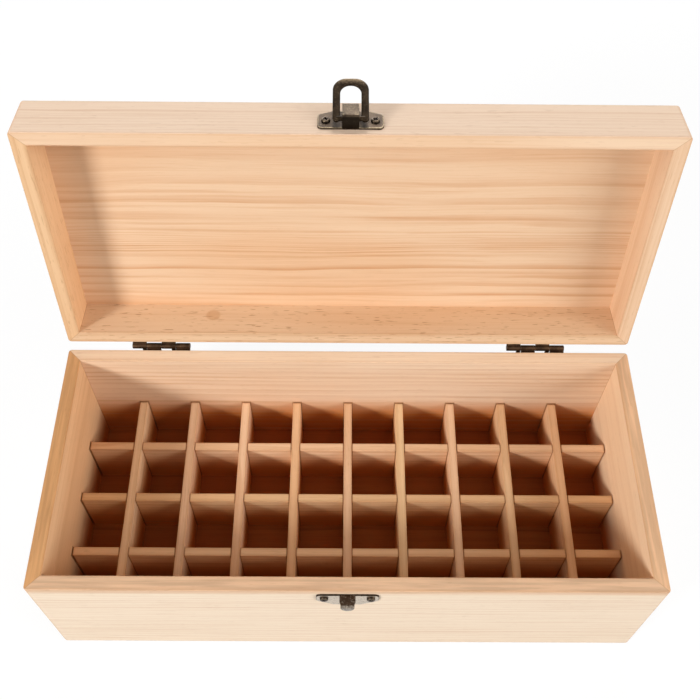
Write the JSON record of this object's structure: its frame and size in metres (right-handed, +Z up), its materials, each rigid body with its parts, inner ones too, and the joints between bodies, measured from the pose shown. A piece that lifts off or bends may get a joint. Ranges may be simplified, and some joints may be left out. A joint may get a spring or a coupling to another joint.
{
  "type": "essential oil box",
  "caption": "Hinged pine storage box with mitred corners, a grid of bottle cells made by half-lapped dividers, and a bronze hasp that closes over a hook.",
  "frame": {"origin": "middle of the base's underside", "axes": "+X to the right along the long side, +Y to the hinged back, +Z up; the front with the hook faces -Y"},
  "size_m": [0.34, 0.2179, 0.2503],
  "materials": {
    "pine_walls": "bare sanded pine",
    "pine_panels": "bare sanded pine",
    "pine_dividers": "bare sanded pine",
    "antique_bronze": "antique bronze plating, worn bright on its edges",
    "screws": "antique bronze plating"
  },
  "bodies": {
    "base": {"base_front_wall": "pine_walls", "base_back_wall": "pine_walls", "base_left_wall": "pine_walls", "base_right_wall": "pine_walls", "base_bottom_panel": "pine_panels", "row_divider_1": "pine_dividers", "row_divider_2": "pine_dividers", "row_divider_3": "pine_dividers", "column_divider_1": "pine_dividers", "column_divider_2": "pine_dividers", "column_divider_3": "pine_dividers", "column_divider_4": "pine_dividers", "column_divider_5": "pine_dividers", "column_divider_6": "pine_dividers", "column_divider_7": "pine_dividers", "column_divider_8": "pine_dividers", "column_divider_9": "pine_dividers", "left_hinge_base_leaf": "antique_bronze", "left_hinge_pin": "antique_bronze", "right_hinge_base_leaf": "antique_bronze", "right_hinge_pin": "antique_bronze", "base_hinge_screws": "screws", "hook_plate": "antique_bronze", "hook_screws": "screws"},
    "lid": {"lid_front_wall": "pine_walls", "lid_back_wall": "pine_walls", "lid_left_wall": "pine_walls", "lid_right_wall": "pine_walls", "lid_top_panel": "pine_panels", "left_hinge_lid_leaf": "antique_bronze", "right_hinge_lid_leaf": "antique_bronze", "lid_hinge_screws": "screws", "hasp_plate": "antique_bronze", "hasp_screws": "screws"},
    "loop": {"hasp_loop": "antique_bronze"}
  },
  "joints": [
    {"name": "lid_hinge", "type": "hinge", "parent": "base", "child": "lid", "pos_m": [0, 0.078, 0.09115], "axis": [1, 0, 0], "range_deg": [0, 100]},
    {"name": "loop_pivot", "type": "hinge", "parent": "lid", "child": "loop", "pos_m": [0, 0.11215, 0.24536], "axis": [1, 0, 0], "range_deg": [-30, 160]}
  ]
}
